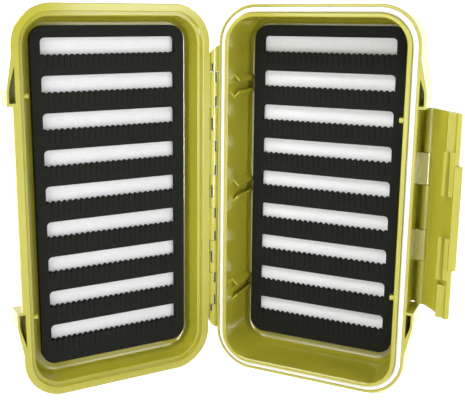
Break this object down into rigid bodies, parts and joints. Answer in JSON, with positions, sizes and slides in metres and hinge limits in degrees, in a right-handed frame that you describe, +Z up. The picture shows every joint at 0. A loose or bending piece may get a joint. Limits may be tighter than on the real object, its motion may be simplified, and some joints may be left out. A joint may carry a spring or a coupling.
{
  "type": "fly box",
  "caption": "Hinged fly box, open on its short end, with sealing gasket, side latch and slit foam sheets for hooks.",
  "frame": {"origin": "centre of the flat of the base's lower end, on the surface that the box stands on", "axes": "+Z up the box, along the hinge; +Y out of the base's back; +X across the base towards the latch"},
  "size_m": [0.191, 0.1114, 0.187],
  "materials": {
    "olive_plastic": "gloss moulded",
    "latch_plastic": "satin moulded",
    "gasket_rubber": "smooth",
    "pin_steel": "drawn",
    "black_foam": "matte closed-cell foam",
    "white_foam": "matte closed-cell foam"
  },
  "bodies": {
    "base": {"base_shell": "olive_plastic", "gasket": "gasket_rubber", "hinge_pin": "pin_steel", "latch_pin": "pin_steel", "base_foam": "black_foam", "base_backing": "white_foam"},
    "lid": {"lid_shell": "olive_plastic", "lid_foam": "black_foam", "lid_backing": "white_foam"},
    "latch": {"latch": "latch_plastic"}
  },
  "joints": [
    {"name": "lid_hinge", "type": "hinge", "parent": "base", "child": "lid", "pos_m": [-0.0516, -0.0065, 0.0935], "axis": [0, 0, 1], "range_deg": [-53.8, 126.2]},
    {"name": "latch_hinge", "type": "hinge", "parent": "base", "child": "latch", "pos_m": [0.0525, 0.0085, 0.0935], "axis": [0, 0, 1], "range_deg": [-42, 75]}
  ]
}
